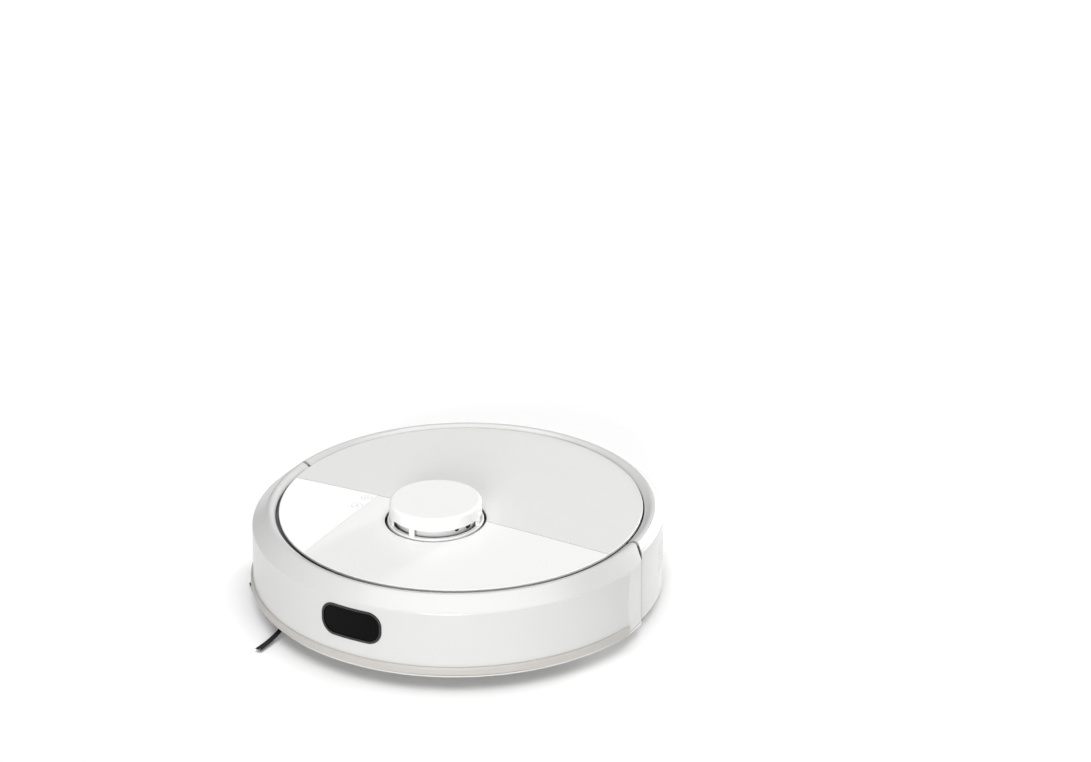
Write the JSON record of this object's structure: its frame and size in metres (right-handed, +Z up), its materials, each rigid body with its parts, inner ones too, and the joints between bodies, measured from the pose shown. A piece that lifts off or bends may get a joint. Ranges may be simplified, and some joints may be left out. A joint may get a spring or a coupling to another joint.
{
  "type": "robot vacuum",
  "caption": "Round robot vacuum: low disc with a raised laser turret, sliding front bumper, lift-off rear lid over a dust bin, driven wheels, caster, roller and side brush.",
  "frame": {"origin": "on the floor, under the middle of the robot's whole outline; the vertical axis of the round top is 5 mm behind it", "axes": "+Z up, front of the robot towards -Y, the robot's right side at -X"},
  "size_m": [0.3492, 0.3476, 0.0975],
  "materials": {
    "white_shell": "satin",
    "white_cover": "satin",
    "panel_white": "gloss",
    "lid_grey": "satin",
    "strip_beige": "matte",
    "window_black": "gloss",
    "bezel_black": "gloss",
    "pan_grey": "moulded",
    "inner_grey": "moulded",
    "dark_plastic": "moulded",
    "lens_dark": "gloss",
    "rotor_grey": "moulded",
    "battery_wrap": "matte",
    "board_green": "matte",
    "steel": "brushed",
    "magnet": "plated",
    "contact_metal": "plated",
    "bin_smoke": "smoked",
    "filter_white": "pleated",
    "roller_rubber": "matte",
    "bristle_black": "filament",
    "tyre_black": "matte",
    "catch_orange": "moulded"
  },
  "bodies": {
    "chassis": {"base_pan": "pan_grey", "deck": "inner_grey", "brush_housing": "inner_grey", "pan_screws": "steel", "cliff_sensors": "lens_dark", "front_cover": "white_cover", "button_panel": "panel_white", "rear_shell": "white_shell", "vent_grille": "white_shell", "charging_contacts": "contact_metal", "brush_bearings": "dark_plastic", "brush_guard": "dark_plastic", "brush_motor": "steel", "fan_housing": "dark_plastic", "fan_motor": "steel", "caster_socket": "inner_grey", "side_brush_motor": "dark_plastic", "lidar_base": "dark_plastic", "lidar_motor": "steel", "battery_pack": "battery_wrap", "main_board": "board_green", "speaker": "dark_plastic", "bumper_switches": "dark_plastic", "deck_magnets": "magnet", "arm_brackets": "inner_grey", "arm_pins": "steel", "arm_springs": "steel"},
    "bumper": {"bumper_shell": "white_shell", "bumper_strip": "strip_beige", "window_bezel": "bezel_black", "ir_window": "window_black"},
    "lid": {"rear_lid": "lid_grey", "lid_magnets": "magnet"},
    "dust_bin": {"bin_tub": "bin_smoke", "bin_cover": "dark_plastic", "bin_filter": "filter_white"},
    "home_key": {"home_button": "panel_white"},
    "power_key": {"power_button": "panel_white"},
    "turret_cover": {"lidar_cover": "white_cover"},
    "scanner": {"lidar_rotor": "rotor_grey", "lidar_lenses": "lens_dark"},
    "roller": {"brush_core": "roller_rubber", "brush_fins": "roller_rubber"},
    "left_catch": {"guard_latch_left": "catch_orange"},
    "right_catch": {"guard_latch_right": "catch_orange"},
    "fan_wheel": {"impeller": "dark_plastic"},
    "side_brush": {"side_brush_hub": "dark_plastic", "side_brush_tufts": "bristle_black"},
    "left_arm": {"wheel_arm_left": "dark_plastic", "drive_motor_left": "steel"},
    "right_arm": {"wheel_arm_right": "dark_plastic", "drive_motor_right": "steel"},
    "left_wheel": {"wheel_hub_left": "dark_plastic", "tyre_left": "tyre_black"},
    "right_wheel": {"wheel_hub_right": "dark_plastic", "tyre_right": "tyre_black"},
    "caster": {"caster_fork": "dark_plastic", "caster_axle": "steel"},
    "caster_roller": {"caster_wheel": "tyre_black"}
  },
  "joints": [
    {"name": "bumper_push", "type": "slide", "parent": "chassis", "child": "bumper", "axis": [0, 1, 0], "range_m": [0, 0.003], "stiffness_N_per_m": 600},
    {"name": "lid_lift", "type": "slide", "parent": "chassis", "child": "lid", "axis": [0, 0, 1], "range_m": [0, 0.12]},
    {"name": "bin_lift", "type": "slide", "parent": "chassis", "child": "dust_bin", "axis": [0, 0, 1], "range_m": [0, 0.072]},
    {"name": "home_press", "type": "slide", "parent": "chassis", "child": "home_key", "axis": [0, 0, -1], "range_m": [0, 0.0008], "stiffness_N_per_m": 500, "springref_m": -0.0004},
    {"name": "power_press", "type": "slide", "parent": "chassis", "child": "power_key", "axis": [0, 0, -1], "range_m": [0, 0.0008], "stiffness_N_per_m": 500, "springref_m": -0.0004},
    {"name": "turret_press", "type": "slide", "parent": "chassis", "child": "turret_cover", "axis": [0, 0, -1], "range_m": [0, 0.001], "stiffness_N_per_m": 1500, "springref_m": -0.0005},
    {"name": "scanner_spin", "type": "hinge", "parent": "chassis", "child": "scanner", "pos_m": [-0.0026, -0.032, 0.08], "axis": [0, 0, 1], "continuous": true},
    {"name": "roller_spin", "type": "hinge", "parent": "chassis", "child": "roller", "pos_m": [0, 0.043, 0.0235], "axis": [1, 0, 0], "continuous": true},
    {"name": "left_catch_slide", "type": "slide", "parent": "chassis", "child": "left_catch", "axis": [0, 1, 0], "range_m": [0, 0.0015], "stiffness_N_per_m": 300},
    {"name": "right_catch_slide", "type": "slide", "parent": "chassis", "child": "right_catch", "axis": [0, 1, 0], "range_m": [0, 0.0015], "stiffness_N_per_m": 300},
    {"name": "fan_spin", "type": "hinge", "parent": "chassis", "child": "fan_wheel", "pos_m": [0.115, 0.087, 0.024], "axis": [0, 0, 1], "continuous": true},
    {"name": "side_brush_spin", "type": "hinge", "parent": "chassis", "child": "side_brush", "pos_m": [-0.096, -0.105, 0.007], "axis": [0, 0, 1], "continuous": true},
    {"name": "left_suspension", "type": "hinge", "parent": "chassis", "child": "left_arm", "pos_m": [0.099, 0.047, 0.036], "axis": [1, 0, 0], "range_deg": [0, 18], "stiffness_Nm_per_rad": 0.08, "springref_deg": 57.3},
    {"name": "right_suspension", "type": "hinge", "parent": "chassis", "child": "right_arm", "pos_m": [-0.099, 0.047, 0.036], "axis": [1, 0, 0], "range_deg": [0, 18], "stiffness_Nm_per_rad": 0.08, "springref_deg": 57.3},
    {"name": "left_wheel_spin", "type": "hinge", "parent": "left_arm", "child": "left_wheel", "pos_m": [0.122, 0.005, 0.034], "axis": [1, 0, 0], "continuous": true},
    {"name": "right_wheel_spin", "type": "hinge", "parent": "right_arm", "child": "right_wheel", "pos_m": [-0.122, 0.005, 0.034], "axis": [1, 0, 0], "continuous": true},
    {"name": "caster_turn", "type": "hinge", "parent": "chassis", "child": "caster", "pos_m": [0, -0.123, 0.02], "axis": [0, 0, 1], "continuous": true},
    {"name": "caster_roll", "type": "hinge", "parent": "caster", "child": "caster_roller", "pos_m": [0, -0.117, 0.013], "axis": [1, 0, 0], "continuous": true}
  ],
  "couplings": [
    {"joint": "bin_lift", "follows": "lid_lift", "ratio": 0.6}
  ]
}
